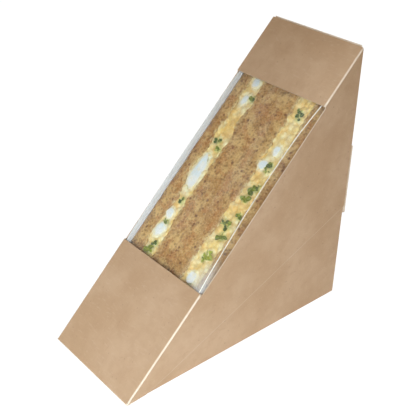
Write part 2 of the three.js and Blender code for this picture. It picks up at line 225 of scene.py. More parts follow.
# Node trees
class Nodes:
    def __init__(self, name, base):
        self.base = base
        self.material = bpy.data.materials.new(name)
        self.material.use_nodes = True
        self.tree = self.material.node_tree
        self.shader = self.tree.nodes["Principled BSDF"]
        coordinates = self.tree.nodes.new("ShaderNodeTexCoord")
        self.place = coordinates.outputs["Object"]

    def add(self, kind, inputs=None, **settings):
        node = self.tree.nodes.new(kind)
        for key, value in settings.items():
            setattr(node, key, value)
        for key, value in (inputs or {}).items():
            self.put(node.inputs[key], value)
        return node

    def put(self, socket, value):
        if isinstance(value, bpy.types.NodeSocket):
            self.tree.links.new(value, socket)
        else:
            socket.default_value = value

    def stretched(self, scale, turn=(0, 0, 0)):
        mapping = self.add("ShaderNodeMapping", {"Vector": self.place, "Scale": scale, "Rotation": turn})
        return mapping.outputs["Vector"]

    def noise(self, size_mm, detail=3.0, roughness=0.55, place=None, distortion=0.0):
        inputs = {
            "Vector": place or self.place,
            "Scale": 1 / (size_mm * MM),
            "Detail": detail,
            "Roughness": roughness,
            "Distortion": distortion,
        }
        return self.add("ShaderNodeTexNoise", inputs).outputs["Fac"]

    def cells(self, size_mm, place=None):
        inputs = {"Vector": place or self.place, "Scale": 1 / (size_mm * MM)}
        return self.add("ShaderNodeTexVoronoi", inputs).outputs["Distance"]

    def remap(self, value, low, high, to_low=0.0, to_high=1.0):
        inputs = {"Value": value, "From Min": low, "From Max": high, "To Min": to_low, "To Max": to_high}
        node = self.add("ShaderNodeMapRange", inputs, interpolation_type="SMOOTHSTEP")
        return node.outputs["Result"]

    def mix(self, share, first, second, blend="MIX"):
        node = self.add("ShaderNodeMix", data_type="RGBA", blend_type=blend)
        self.put(node.inputs[0], share)
        self.put(node.inputs[6], first)
        self.put(node.inputs[7], second)
        return node.outputs[2]

    def math(self, operation, first, second):
        return self.add("ShaderNodeMath", {0: first, 1: second}, operation=operation).outputs[0]

    def tint(self, share, tone, by=None):
        if by is not None:
            share = self.math("MULTIPLY", share, by)
        self.base = self.mix(share, self.base, tone)

    def attribute(self, name):
        return self.add("ShaderNodeAttribute", attribute_name=name).outputs["Fac"]

    def bump(self, height, distance_mm, strength, before=None):
        inputs = {"Height": height, "Distance": distance_mm * MM, "Strength": strength}
        if before is not None:
            inputs["Normal"] = before
        return self.add("ShaderNodeBump", inputs).outputs["Normal"]

    def see_into(self, weight, radius):
        self.finish(Subsurface_Weight=weight, Subsurface_Radius=radius, Subsurface_Scale=1.0)

    def finish(self, **inputs):
        self.put(self.shader.inputs["Base Color"], self.base)
        for key, value in inputs.items():
            self.put(self.shader.inputs[key.replace("_", " ")], value)
        return self.material


def colour(red, green, blue):
    return (red, green, blue, 1.0)


KRAFT = colour(0.505, 0.318, 0.182)
KRAFT_PALE = colour(0.565, 0.37, 0.226)
KRAFT_DARK = colour(0.415, 0.25, 0.134)
KRAFT_FIBRE = colour(0.66, 0.48, 0.34)
# Flecks in the board; the same colour is also the painted contact shadow
KRAFT_FLECK_AND_SHADE = colour(0.33, 0.20, 0.115)
CUT_EDGE = colour(0.74, 0.58, 0.43)
# Crease and fold colour: paler cracked fibres plus a painted highlight
PALENESS_AND_HIGHLIGHT = colour(0.86, 0.72, 0.56)


# Uncoated kraft board: soft clouds, crossing fibres, flecks, paler cut edges, creases that are paler and
# carry a painted highlight, and a painted contact shadow under the outer side panel's edge
def kraft_material():
    nodes = Nodes("kraft_board", KRAFT)
    clouds = nodes.remap(nodes.noise(size_mm=26, detail=3, roughness=0.5), low=0.35, high=0.65)
    blotches = nodes.remap(nodes.noise(size_mm=5, detail=4, roughness=0.6), low=0.35, high=0.68)
    fibre = {"size_mm": 0.7, "detail": 2, "roughness": 0.5, "distortion": 0.6}
    fibre_a = nodes.noise(place=nodes.stretched(scale=(0.22, 1, 1), turn=(0.3, 0.2, 0.5)), **fibre)
    fibre_b = nodes.noise(place=nodes.stretched(scale=(1, 0.22, 0.3), turn=(0.9, 0.4, 0.1)), **fibre)
    fleck_place = nodes.stretched(scale=(1, 0.5, 0.8), turn=(0.4, 0.7, 0.2))
    flecks = nodes.remap(nodes.cells(size_mm=3.1, place=fleck_place), low=0.1, high=0.04)
    # Noise that breaks up the crease paleness and its painted highlight
    wear_and_highlight_noise = nodes.remap(nodes.noise(size_mm=1.6, detail=3, roughness=0.6), low=0.3, high=0.55, to_low=0.75)
    nodes.tint(clouds, KRAFT_PALE)
    nodes.tint(blotches, KRAFT_DARK, by=0.22)
    nodes.tint(nodes.remap(fibre_a, low=0.56, high=0.72, to_high=0.2), KRAFT_FIBRE)
    nodes.tint(nodes.remap(fibre_b, low=0.58, high=0.74, to_high=0.25), KRAFT_DARK)
    nodes.tint(flecks, KRAFT_FLECK_AND_SHADE, by=0.5)
    # Painted contact shadow under the outer side panel's free edge
    nodes.tint(nodes.attribute("contact_shade"), KRAFT_FLECK_AND_SHADE, by=0.45)
    nodes.tint(nodes.attribute("cut"), CUT_EDGE)
    # Creases and folds: paler fibres with a painted highlight
    nodes.tint(nodes.attribute("paleness_and_highlight"), PALENESS_AND_HIGHLIGHT, by=wear_and_highlight_noise)
    waves = nodes.noise(size_mm=9, detail=2, roughness=0.5)
    normal = nodes.bump(nodes.math("ADD", fibre_a, fibre_b), distance_mm=0.06, strength=0.35)
    normal = nodes.bump(waves, distance_mm=0.35, strength=0.25, before=normal)
    return nodes.finish(Roughness=0.78, Specular_IOR_Level=0.35, Normal=normal)


CRUMB = colour(0.45, 0.23, 0.062)
CRUMB_PALE = colour(0.70, 0.45, 0.17)
CRUMB_RED = colour(0.48, 0.205, 0.055)
# Dark bran, and also the colour of the painted pore shade
CRUMB_DARK = colour(0.15, 0.055, 0.012)
GRAIN = colour(0.17, 0.06, 0.02)
CRUST = colour(0.36, 0.17, 0.05)
CRUST_DARK = colour(0.22, 0.09, 0.022)
CRUST_PALE = colour(0.55, 0.31, 0.11)
SMEAR = colour(0.74, 0.58, 0.28)


# Malted crumb: pale and reddish patches, painted shade in the pores, bran and grain flecks, and a brown
# crust
def bread_material():
    nodes = Nodes("malted_bread", CRUMB)
    malt_place = nodes.stretched(scale=(1, 1, 1.1))
    grain_place = nodes.stretched(scale=(1, 0.8, 1))
    bran_place = nodes.stretched(scale=(1, 0.6, 0.9), turn=(0.5, 0, 0.4))
    malt_noise = nodes.noise(size_mm=5.2, detail=4, roughness=0.65, place=malt_place)
    patches = nodes.remap(nodes.noise(size_mm=7.5, detail=4, roughness=0.62), low=0.38, high=0.62)
    malt = nodes.remap(malt_noise, low=0.48, high=0.6)
    speckle = nodes.remap(nodes.noise(size_mm=0.9, detail=3, roughness=0.7), low=0.35, high=0.7)
    pore_shade = nodes.remap(nodes.cells(size_mm=1.7), low=0.14, high=0.5)
    grains = nodes.remap(nodes.cells(size_mm=3.4, place=grain_place), low=0.25, high=0.1)
    bran = nodes.remap(nodes.cells(size_mm=2.0, place=bran_place), low=0.24, high=0.1)
    nodes.tint(patches, CRUMB_PALE)
    nodes.tint(malt, CRUMB_RED, by=0.8)
    nodes.tint(nodes.remap(speckle, low=0.2, high=0.9, to_high=0.55), CRUMB_PALE)
    # Painted shade in the pores, from the shader's spots and from the depth of the sunken pores
    nodes.tint(nodes.remap(pore_shade, low=0, high=1, to_low=0.42, to_high=0.0), CRUMB_DARK)
    nodes.tint(nodes.attribute("pore"), CRUMB_DARK, by=0.6)
    nodes.tint(bran, CRUMB_DARK, by=0.42)
    nodes.tint(grains, GRAIN, by=0.8)
    streaks = nodes.remap(nodes.noise(size_mm=2.2, detail=3, roughness=0.6), low=0.42, high=0.62)
    nodes.tint(nodes.attribute("smear"), SMEAR, by=streaks)
    nodes.tint(nodes.attribute("crust"), crust_colour(nodes, bran))
    normal = nodes.bump(nodes.noise(size_mm=0.55, detail=4, roughness=0.7), distance_mm=0.25, strength=0.6)
    normal = nodes.bump(nodes.cells(size_mm=1.15), distance_mm=0.35, strength=0.6, before=normal)
    return nodes.finish(Roughness=0.92, Specular_IOR_Level=0.2, Normal=normal)


def crust_colour(nodes, bran):
    browning = nodes.remap(nodes.noise(size_mm=3.6, detail=4, roughness=0.65), low=0.36, high=0.66)
    flour = nodes.noise(size_mm=0.7, detail=3, roughness=0.7)
    crust = nodes.mix(browning, CRUST_DARK, CRUST)
    crust = nodes.mix(nodes.remap(flour, low=0.5, high=0.72, to_high=0.5), crust, CRUST_PALE)
    return nodes.mix(nodes.math("MULTIPLY", bran, 0.6), crust, GRAIN)


MAYO = colour(1.0, 0.76, 0.27)
MAYO_PALE = colour(1.0, 0.91, 0.54)
YOLK = colour(0.98, 0.60, 0.13)
MAYO_SHADE = colour(0.66, 0.40, 0.08)
CHOPPED_WHITE = colour(0.95, 0.91, 0.64)
CRESS_STAIN = colour(0.50, 0.58, 0.17)


# Chopped egg in mayonnaise: cream and yolk lumps with a moist surface, and painted shade in the hollows
# between the lumps
def filling_material():
    nodes = Nodes("egg_mayonnaise", MAYO)
    yolk_place = nodes.stretched(scale=(1, 0.8, 0.9), turn=(0.2, 0.5, 0.9))
    yolk_noise = nodes.noise(size_mm=7.5, detail=3, roughness=0.6, place=yolk_place)
    lumps = nodes.remap(nodes.noise(size_mm=4.2, detail=3, roughness=0.55), low=0.36, high=0.62)
    yolk = nodes.remap(yolk_noise, low=0.47, high=0.6)
    crevice_shade = nodes.remap(nodes.cells(size_mm=1.9), low=0.1, high=0.55)
    fine = nodes.remap(nodes.noise(size_mm=0.8, detail=3, roughness=0.6), low=0.4, high=0.7)
    bits = nodes.remap(nodes.noise(size_mm=1.4, detail=3, roughness=0.6), low=0.36, high=0.6, to_low=0.25)
    nodes.tint(lumps, MAYO_PALE)
    nodes.tint(yolk, YOLK, by=0.75)
    # Painted shade between the lumps
    nodes.tint(crevice_shade, MAYO_SHADE, by=0.35)
    nodes.tint(fine, MAYO_PALE, by=0.3)
    nodes.tint(nodes.attribute("pore"), MAYO_SHADE, by=0.5)
    nodes.tint(nodes.attribute("chopped"), CHOPPED_WHITE, by=bits)
    nodes.tint(nodes.attribute("stain"), CRESS_STAIN, by=bits)
    normal = nodes.bump(nodes.noise(size_mm=1.1, detail=4, roughness=0.6), distance_mm=0.35, strength=0.6)
    nodes.see_into(weight=0.2, radius=(0.0012, 0.0009, 0.0004))
    return nodes.finish(Roughness=0.42, Specular_IOR_Level=0.45, Normal=normal)


WHITE_OF_EGG = colour(0.90, 0.92, 0.86)
WHITE_OF_EGG_COOL = colour(0.80, 0.89, 0.89)
WHITE_OF_EGG_WARM = colour(0.94, 0.85, 0.55)


def egg_white_material():
    nodes = Nodes("egg_white", WHITE_OF_EGG)
    cool = nodes.remap(nodes.noise(size_mm=5, detail=2, roughness=0.5), low=0.4, high=0.62)
    warm = nodes.remap(nodes.noise(size_mm=2.4, detail=3, roughness=0.6), low=0.52, high=0.7, to_high=0.6)
    nodes.tint(cool, WHITE_OF_EGG_COOL)
    nodes.tint(warm, WHITE_OF_EGG_WARM)
    nodes.tint(nodes.attribute("rim"), WHITE_OF_EGG_WARM)
    normal = nodes.bump(nodes.noise(size_mm=1.6, detail=3, roughness=0.5), distance_mm=0.2, strength=0.4)
    nodes.see_into(weight=0.25, radius=(0.0015, 0.0015, 0.0013))
    return nodes.finish(Roughness=0.3, Specular_IOR_Level=0.5, Normal=normal)


LEAF = colour(0.055, 0.085, 0.006)
LEAF_LIGHT = colour(0.40, 0.42, 0.03)
LEAF_TEAL = colour(0.09, 0.15, 0.06)
LEAF_VEIN = colour(0.46, 0.52, 0.22)


def cress_material():
    nodes = Nodes("cress", LEAF)
    teal = nodes.remap(nodes.noise(size_mm=2.5, detail=3, roughness=0.6), low=0.5, high=0.7, to_high=0.25)
    nodes.tint(nodes.attribute("tone"), LEAF_LIGHT)
    nodes.tint(teal, LEAF_TEAL)
    nodes.tint(nodes.attribute("vein"), LEAF_VEIN, by=0.6)
    normal = nodes.bump(nodes.noise(size_mm=0.5, detail=3, roughness=0.6), distance_mm=0.08, strength=0.5)
    nodes.see_into(weight=0.15, radius=(0.0004, 0.0008, 0.0002))
    return nodes.finish(Roughness=0.5, Specular_IOR_Level=0.2, Normal=normal)


FILM = colour(0.88, 0.88, 0.86)
FILM_OPACITY = 0.02
# Colour of the painted highlight along the film's folds
FILM_FOLD_HIGHLIGHT = colour(1.0, 0.94, 0.80)


# Clear film: nearly unseen where it lies flat, with a painted sheen where it is seen along its face, a
# painted cream highlight along its folds, and haze at the left and low right of the window
def film_material():
    nodes = Nodes("clear_film", FILM)
    grazing = nodes.add("ShaderNodeLayerWeight", {"Blend": 0.35}).outputs["Facing"]
    streak_place = nodes.stretched(scale=(1, 0.25, 0.25))
    streak_noise = nodes.noise(size_mm=7, detail=3, roughness=0.6, place=streak_place)
    # Painted sheen where the film is seen along its face
    sheen = nodes.remap(grazing, low=0.35, high=1.0, to_high=0.42)
    streaks = nodes.remap(streak_noise, low=0.4, high=0.7, to_high=0.035)
    haze_and_highlight = nodes.math("ADD", nodes.math("ADD", sheen, streaks), nodes.attribute("haze_and_highlight"))
    opacity = nodes.math("MINIMUM", nodes.math("ADD", haze_and_highlight, FILM_OPACITY), 1.0)
    # Painted cream highlight along the folds
    nodes.tint(nodes.attribute("fold"), FILM_FOLD_HIGHLIGHT)
    normal = nodes.bump(nodes.noise(size_mm=14, detail=2, roughness=0.5), distance_mm=0.4, strength=0.3)
    return nodes.finish(Roughness=0.12, IOR=1.49, Alpha=opacity, Normal=normal)


# Camera, floor and light
def add_camera():
    place = Vector(CAMERA_PLACE) * MM
    forward = (Vector(CAMERA_TARGET) * MM - place).normalized()
    right = forward.cross(Vector((0, 0, 1))).normalized()
    up = right.cross(forward)
    roll = math.radians(CAMERA_ROLL)
    level = right * math.cos(roll) - up * math.sin(roll)
    upright = right * math.sin(roll) + up * math.cos(roll)
    axes = Matrix((level, upright, -forward)).transposed().to_4x4()
    data = bpy.data.cameras.new("camera")
    data.sensor_width = SENSOR
    data.lens = CAMERA_LENS
    data.clip_start = 0.01
    camera = add_object("camera", data)
    camera.matrix_world = Matrix.Translation(place) @ axes
    bpy.context.scene.camera = camera


# One shader lights the pack, and rays from the camera, in gloss and through glass see the other
def light_and_show(tree, output, light, seen, strength):
    path = tree.nodes.new("ShaderNodeLightPath")
    total = path.outputs["Is Camera Ray"]
    for name in ("Is Glossy Ray", "Is Transmission Ray"):
        node = tree.nodes.new("ShaderNodeMath")
        node.operation = "MAXIMUM"
        tree.links.new(total, node.inputs[0])
        tree.links.new(path.outputs[name], node.inputs[1])
        total = node.outputs[0]
    scaled = tree.nodes.new("ShaderNodeMath")
    scaled.operation = "MULTIPLY"
    scaled.inputs[1].default_value = strength
    tree.links.new(total, scaled.inputs[0])
    mix = tree.nodes.new("ShaderNodeMixShader")
    tree.links.new(scaled.outputs[0], mix.inputs[0])
    tree.links.new(light.outputs[0], mix.inputs[1])
    tree.links.new(seen.outputs[0], mix.inputs[2])
    tree.links.new(mix.outputs[0], output.inputs["Surface"])


FLOOR_HALF = 2500
FLOOR_GAP = 0.02
FLOOR_WHITE = 0.82
FLOOR_SEEN = 0.82
FLOOR_GLOW = 1.18
WORLD_LEVEL = 0.35
WORLD_TINT = colour(1.0, 0.87, 0.70)
LAMP_TINT = (0.75, 0.88, 1.0)
WORLD_SEEN = 1.0


def floor_material():
    material = bpy.data.materials.new("floor")
    material.use_nodes = True
    tree = material.node_tree
    tree.nodes.clear()
    output = tree.nodes.new("ShaderNodeOutputMaterial")
    matt = tree.nodes.new("ShaderNodeBsdfDiffuse")
    matt.inputs["Color"].default_value = colour(FLOOR_WHITE, FLOOR_WHITE, FLOOR_WHITE)
    glow = tree.nodes.new("ShaderNodeEmission")
    glow.inputs["Strength"].default_value = FLOOR_GLOW
    light_and_show(tree, output, matt, glow, FLOOR_SEEN)
    return material


def add_floor():
    half = FLOOR_HALF
    points = [(-half, -half, 0), (half, -half, 0), (half, half, 0), (-half, half, 0)]
    floor = make_object("floor", points, [(0, 1, 2, 3)], floor_material(), smooth=False)
    floor.location.z = -FLOOR_GAP * MM


def add_world():
    world = bpy.data.worlds.new("world")
    bpy.context.scene.world = world
    world.use_nodes = True
    tree = world.node_tree
    tree.nodes.clear()
    output = tree.nodes.new("ShaderNodeOutputWorld")
    light = tree.nodes.new("ShaderNodeBackground")
    light.inputs["Strength"].default_value = WORLD_LEVEL
    light.inputs["Color"].default_value = WORLD_TINT
    seen = tree.nodes.new("ShaderNodeBackground")
    seen.inputs["Strength"].default_value = WORLD_SEEN
    seen.inputs["Color"].default_value = colour(1, 1, 1)
    light_and_show(tree, output, light, seen, strength=1.0)


# Name, place, what it is aimed at, diameter in metres, watts and spread in degrees
LAMPS = [
    ("front", (200, -560, 300), (55, -112, -75), 0.4, 0.45, 62),
    ("side", (470, -300, 70), (26, -120, -50), 0.35, 0.48, 60),
    ("corner", (22, -70, 260), (34, 46, 112), 0.03, 0.0024, 26),
    ("back", (-350, 800, 420), (0, 0, 40), 0.6, 2.5, 180),
]


def add_lamps():
    for name, place, target, size, power, spread in LAMPS:
        data = bpy.data.lights.new(name, "AREA")
        data.shape = "DISK"
        data.size = size
        data.energy = power
        data.spread = math.radians(spread)
        data.color = LAMP_TINT
        lamp = add_object(name, data)
        lamp.location = Vector(place) * MM
        lamp.rotation_euler = (Vector(target) * MM - lamp.location).to_track_quat("-Z", "Y").to_euler()
        lamp.visible_camera = False


# Board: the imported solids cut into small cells, so that the panels can bow and warp a little
BOARD_CELL = 4.0
CREASE_CORE = 0.3
CREASE_REACH = 0.62
SLOPE_LENGTH = 173.5
SIDE_FOOT = Vector((FRONT_EDGE_Y + 10.5, 0.15))
SIDE_BACK = Vector((FRONT_EDGE_Y + 122.7, 48.0))
EDGE_RUN = (SIDE_BACK - SIDE_FOOT).normalized()
EDGE_LINE = 0.4
# Width of the painted contact shadow below the outer panel's free edge
CONTACT_SHADE_LINE = 0.9
NEAR_EDGE = 0.05
SIDE_BOW = 0.35
BOW_REACH = 40
FOOT_HEIGHT = 6
RUN_IN_HEIGHT = 4
WARP = 0.12
WARP_SIZE = 28
SIDE_SHIFT = 9
NEARNESS_POWER = 8


# Height over the free lower edge of an outer side panel
def over_free_edge(y, z):
    return (z - SIDE_FOOT.y) * EDGE_RUN.x - (y - SIDE_FOOT.x) * EDGE_RUN.y


# Cuts along the free edge: the line above it for its pale, highlighted edge, and the line below it for the
# painted contact shadow
def free_edge_cuts():
    normal = Vector((0, -EDGE_RUN.y, EDGE_RUN.x))
    foot = Vector((0, *SIDE_FOOT))
    return [(normal, (foot + normal * gap) * MM) for gap in (EDGE_LINE, -CONTACT_SHADE_LINE)]


def board_cells(mesh):
    work = bmesh.new()
    work.from_mesh(mesh)
    bmesh.ops.remove_doubles(work, verts=work.verts, dist=1e-6)
    bmesh.ops.dissolve_limit(work, angle_limit=math.radians(0.5), verts=work.verts, edges=work.edges)
    origin = Vector((0, FRONT_EDGE_Y, 0)) * MM
    across = int(HALF_WIDTH / BOARD_CELL)
    up = int(SLOPE_LENGTH / BOARD_CELL)
    deep = int(SLOPE_LENGTH / 2 / BOARD_CELL)
    cell = BOARD_CELL * MM
    cuts = [(Vector((1, 0, 0)), Vector((step * cell, 0, 0))) for step in range(-across, across + 1)]
    cuts += [(ALONG_AXIS, origin + ALONG_AXIS * step * cell) for step in range(up + 1)]
    cuts += [(OUT_AXIS, origin - OUT_AXIS * step * cell) for step in range(1, deep + 1)]
    cuts += free_edge_cuts()
    for normal, place in cuts:
        parts = work.verts[:] + work.edges[:] + work.faces[:]
        bmesh.ops.bisect_plane(work, geom=parts, plane_co=place, plane_no=normal, dist=1e-7)
    bmesh.ops.triangulate(work, faces=work.faces)
    return work


# The side panels bow out under the crease, and their foot runs into the inner panels
def board_shift(point):
    x, y, z = point
    along, out = along_and_out(y, z)
    side = math.copysign(1, x)
    nearness = (abs(x) / HALF_WIDTH) ** NEARNESS_POWER
    depth_fade = math.exp(-max(-out, 0) / BOW_REACH)
    rise = math.sin(math.pi * min(max(along / SLOPE_LENGTH, 0), 1))
    foot = smooth_step(0, FOOT_HEIGHT, z)
    if abs(x) > HALF_WIDTH - 0.5 * BOARD:
        run_in = smooth_step(FRONT_EDGE_Y, SIDE_FOOT.x, y) * (1 - smooth_step(0, RUN_IN_HEIGHT, z))
        x -= side * BOARD * run_in
    x += side * SIDE_BOW * rise * depth_fade * nearness * foot
    dents = wave((side * SIDE_SHIFT, y, z), WARP_SIZE) * smooth_step(0.5, FOOT_HEIGHT, -out)
    return x + nearness * foot * WARP * dents, y, z


# Painted contact shadow: the inner side panel is darker in the corner under the outer panel's edge
def contact_shade_share(place):
    is_under = abs(over_free_edge(place.y, place.z)) < NEAR_EDGE
    is_inner = HALF_WIDTH - 1.1 * BOARD < abs(place.x) < HALF_WIDTH - OUTER_SKIN
    return 1.0 if is_under and is_inner else 0.0


def refined_board(node, name, body, material, crease_share, cut_share, shift=None):
    work = board_cells(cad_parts[node].data)
    mesh = bpy.data.meshes.new(name)
    creases = []
    contact_shades = []
    work.normal_update()
    centres = [face.calc_center_median() / MM for face in work.faces]
    cuts = [cut_share(centre, face.normal) for centre, face in zip(centres, work.faces)]
    bends = [crease_share(centre) > 0 for centre in centres]
    for vertex in work.verts:
        place = vertex.co / MM
        creases.append(crease_share(place))
        contact_shades.append(contact_shade_share(place))
        if shift:
            vertex.co = Vector(shift(place)) * MM
    work.to_mesh(mesh)
    work.free()
    mesh.materials.append(material)
    mesh.polygons.foreach_set("use_smooth", bends)
    piece = add_object(name, mesh)
    # Paleness with a painted highlight at creases, folds and the free edge
    add_attribute(piece, "paleness_and_highlight", creases)
    # Painted contact shadow
    add_attribute(piece, "contact_shade", contact_shades)
    add_attribute(piece, "cut", cuts, "FACE")
    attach(piece, body)
    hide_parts(node)
    return piece


OUTER_SKIN = 0.1
FACING = 0.9
CUT_PALENESS = 0.9
EDGE_PALENESS = 0.4
FOLD_PALENESS = 0.5
EAR_PALENESS = 0.7
HINGE_PALENESS = 0.8
SIDE_CUT_HEIGHT = 0.7
SIDE_CUT_DEPTH = 1.1
HINGE_Z = 122.4
TONGUE_FOLD_Z = 1.6
FLAP_SKIN_Y = 60.5
FLAP_FOLD_Y = 59.875
EAR_FOLD_X = 25.6
EAR_ROOT_X = 24
EAR_LOW_Z = 10


# Crease paleness with a painted highlight: a line along the outer side panel's free edge, the creases
# beside the front panel, and the bottom fold
def carton_crease(place):
    along, out = along_and_out(place.y, place.z)
    is_on_edge = abs(over_free_edge(place.y, place.z)) < NEAR_EDGE and out < -5 * BOARD
    if is_on_edge and abs(place.x) > HALF_WIDTH - OUTER_SKIN:
        return EDGE_PALENESS
    if along > 1:
        return 1 - smooth_step(CREASE_CORE, CREASE_REACH, math.hypot(HALF_WIDTH - abs(place.x), out))
    return FOLD_PALENESS if place.z < 1.5 * BOARD else 0.0


# A cut edge's face looks along the slope, to the back, or along a side panel
def carton_cut(place, normal):
    if abs(normal.dot(ALONG_AXIS)) > FACING or abs(normal.y) > FACING:
        return CUT_PALENESS
    is_side = abs(place.x) > HALF_WIDTH - 2 * BOARD and abs(normal.x) < 0.3
    is_inside = place.z > SIDE_CUT_HEIGHT and along_and_out(place.y, place.z)[1] < -SIDE_CUT_DEPTH
    return CUT_PALENESS if is_side and is_inside else 0.0


# Fold paleness with a painted highlight at the flap's hinge, tongue fold and ears
def flap_crease(place):
    if place.z > HINGE_Z:
        return HINGE_PALENESS
    if place.y > FLAP_FOLD_Y and place.z < TONGUE_FOLD_Z:
        return FOLD_PALENESS
    if place.y > FLAP_FOLD_Y and abs(place.x) > EAR_FOLD_X:
        return EAR_PALENESS
    return 0.0


def flap_cut(place, normal):
    is_flap_side = abs(normal.x) > FACING and abs(place.x) < EAR_ROOT_X + 1 and place.y > FLAP_SKIN_Y
    is_ear_end = abs(normal.z) > FACING and abs(place.x) > EAR_ROOT_X and place.z > EAR_LOW_Z
    return CUT_PALENESS if is_flap_side or is_ear_end else 0.0


def add_board():
    kraft = kraft_material()
    refined_board("carton", "carton_board", "pack", kraft, carton_crease, carton_cut, board_shift)
    refined_board("closing_flap", "flap_board", "flap", kraft, flap_crease, flap_cut)


# Points along the arc that rounds one corner of an outline
def rounded_corner(before, corner, after, radius, steps):
    inward = (corner - before).normalized()
    onward = (after - corner).normalized()
    turn = math.atan2(inward.cross(onward), inward.dot(onward))
    reach = radius * math.tan(abs(turn) / 2)
    start = corner - inward * reach
    side = Vector((-inward.y, inward.x)) * math.copysign(radius, turn)
    centre = start + side
    return [Vector(turned(centre, turn * step / steps, *-side)) for step in range(steps + 1)]


# Outline of a half slice: two blunt tips and three rounded bends
def slice_outline(inset):
    low = FLOOR_Z + inset
    back = BREAD_BACK_Y - FRONT_EDGE_Y - inset
    drop = CUT_FACE / math.cos(SLOPE)
    front = low + drop
    top = back - drop
    step = TIP_BLUNT * math.cos(SLOPE)
    low_tip = Vector((front + step, low + step))
    low_corner = Vector((front + TIP_BLUNT / math.cos(SLOPE), low))
    back_corner = Vector((back, low))
    high_corner = Vector((back, top - TIP_BLUNT / math.sin(SLOPE)))
    high_tip = Vector((back - step, top - step))
    bends = [rounded_corner(low_tip, low_corner, back_corner, CRUST_RADIUS, 10)]
    bends.append(rounded_corner(low_corner, back_corner, high_corner, CRUST_RADIUS, 16))
    bends.append(rounded_corner(back_corner, high_corner, high_tip, CRUST_RADIUS, 10))
    outline = [low_tip]
    for bend in bends:
        outline += bend
    outline.append(high_tip)
    return outline


def resampled(outline, spacing, first_spacing):
    closed = outline[1:] + [outline[0]]
    points = []
    for start, end in zip(outline, closed):
        is_cut = start == outline[-1]
        gap = (end - start).length
        if gap < 1e-6:
            continue
        count = max(int(round(gap / (first_spacing if is_cut else spacing))), 1)
        points += [(start.lerp(end, step / count), is_cut) for step in range(count)]
    return points


def outward(points):
    count = len(points)
    directions = []
    for index in range(count):
        step = points[(index + 1) % count][0] - points[index - 1][0]
        directions.append(Vector((step.y, -step.x)).normalized())
    return directions


# Neighbours share a side, so that its wobble is the same for both
def shared_side(curve, rest, along, depth):
    share = math.exp(-max(depth, 0) / DEPTH_FADE)
    place = rest + (curve_at(curve, along) - rest) * share
    if abs(rest) == SIDE_WALL:
        return place
    spot = (rest, along, depth)
    ragged = SEAM_RAGGED if curve is BREAD_SEAM else SIDE_RAGGED
    return place + share * ragged * (wave(spot, RAGGED_SIZE) + FINE_RAGGED * wave(spot, FINE_RAGGED_SIZE))


def layer_sides(left_curve, right_curve, left_rest, right_rest):
    def sides(along, depth):
        left = shared_side(left_curve, left_rest, along, depth) + HALF_GAP
        right = shared_side(right_curve, right_rest, along, depth) - HALF_GAP
        return left, right
    return sides


def flat_curve(place):
    return [(0, place), (1, place)]


LAYERS = {
    "bread_slice_1": (flat_curve(-LEFT_BREAD_BULGE), FILLING_1_LEFT, -SIDE_WALL, -19.3),
    "egg_filling_1": (FILLING_1_LEFT, FILLING_1_RIGHT, -19.3, -10.3),
    "bread_slice_2": (FILLING_1_RIGHT, BREAD_SEAM, -10.3, -0.7),
    "bread_slice_3": (BREAD_SEAM, FILLING_2_LEFT, -0.7, 10.3),
    "egg_filling_2": (FILLING_2_LEFT, FILLING_2_RIGHT, 10.3, 19.7),
    "bread_slice_4": (FILLING_2_RIGHT, flat_curve(SIDE_BULGE), 19.7, SIDE_WALL),
}


BEVEL_STEPS = 3
SOFT_BEVEL = 0.3


# Rings across a layer: distance from the side, share of the straight part, and drop at the rim
def ring_profile(bevel, width, cell):
    straight = max(int(round((width - 2 * bevel) / cell)), 2)
    angles = [math.pi / 2 * step / BEVEL_STEPS for step in range(BEVEL_STEPS + 1)]
    rings = [(bevel * (1 - math.cos(angle)), 0.0, bevel * (1 - math.sin(angle))) for angle in angles]
    rings += [(bevel, step / straight, 0.0) for step in range(1, straight)]
    rings += [(bevel * math.cos(angle), 1.0, bevel * (1 - math.sin(angle))) for angle in reversed(angles)]
    return rings


def ring_place(left, right, bevel, ring):
    start, share, _ = ring
    if share == 0.0:
        return left + start
    if share == 1.0:
        return right - bevel + start
    return left + bevel + (right - left - 2 * bevel) * share


# A soft layer: an outline swept across its thickness, rounded at the rims, with caps on both sides
def soft_layer(name, inset, cell, leg_cell, displace, mark_names, material):
    bevel = SOFT_BEVEL
    left_curve, right_curve, left_rest, right_rest = LAYERS[name]
    sides = layer_sides(left_curve, right_curve, left_rest, right_rest)
    outline = resampled(slice_outline(inset), leg_cell, cell)
    directions = outward(outline)
    rings = ring_profile(bevel, right_rest - left_rest, cell)
    points = []
    values = {key: [] for key in mark_names}
    count = len(outline)
    for ring in rings:
        for (place, is_cut), direction in zip(outline, directions):
            inner = place - direction * ring[2]
            along, out = along_and_out(inner.x + FRONT_EDGE_Y, inner.y)
            left, right = sides(along, -out - CUT_FACE)
            x = ring_place(left, right, bevel, ring)
            lift, marks = displace(x, along, out, is_cut, left, right)
            moved = inner + direction * lift
            points.append((x, moved.x + FRONT_EDGE_Y, moved.y))
            for key in values:
                values[key].append(marks[key])
    faces = tube_faces(0, len(rings), count)
    for row, is_left in ((0, True), (len(rings) - 1, False)):
        add_cap(points, faces, values, row * count, count, is_left, sides)
    piece = make_object(name + "_soft", points, faces, material)
    for key, marks in values.items():
        add_attribute(piece, key, marks)
    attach(piece, "pack")
    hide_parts(name)
    return piece


CAP_CELL = 2.6
CAP_SINK = 0.12
CAP_WAVE = 5


